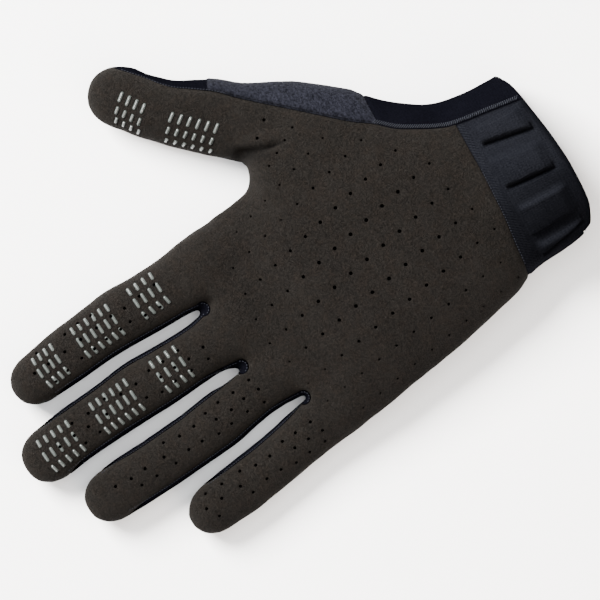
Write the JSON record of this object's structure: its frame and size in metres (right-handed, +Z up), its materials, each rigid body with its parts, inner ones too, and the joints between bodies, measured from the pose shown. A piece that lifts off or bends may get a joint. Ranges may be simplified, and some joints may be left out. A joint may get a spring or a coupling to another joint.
{
  "type": "cycling glove",
  "caption": "Full-finger cycling glove for the right hand, lying palm up, with a perforated suede palm, black side strips, a terry thumb patch and a padded, ribbed cuff.",
  "frame": {"origin": "on the surface that the glove lies on, under the middle of its outline", "axes": "+Y to the fingertips, +X to the thumb, +Z up out of the palm"},
  "size_m": [0.1656, 0.2246, 0.0347],
  "materials": {
    "suede": "matt brushed suede",
    "stretch": "fine stretch knit",
    "terry": "brushed terry",
    "moulded": "padded jersey"
  },
  "bodies": {
    "root": {"palm": "suede", "back": "stretch", "fourchette_little_ring": "stretch", "fourchette_ring_middle": "stretch", "fourchette_middle_index": "stretch", "thumb_back": "stretch", "thumb_wipe": "terry", "wrist_side": "stretch", "cuff_palm": "moulded", "cuff_back": "stretch"}
  },
  "joints": []
}
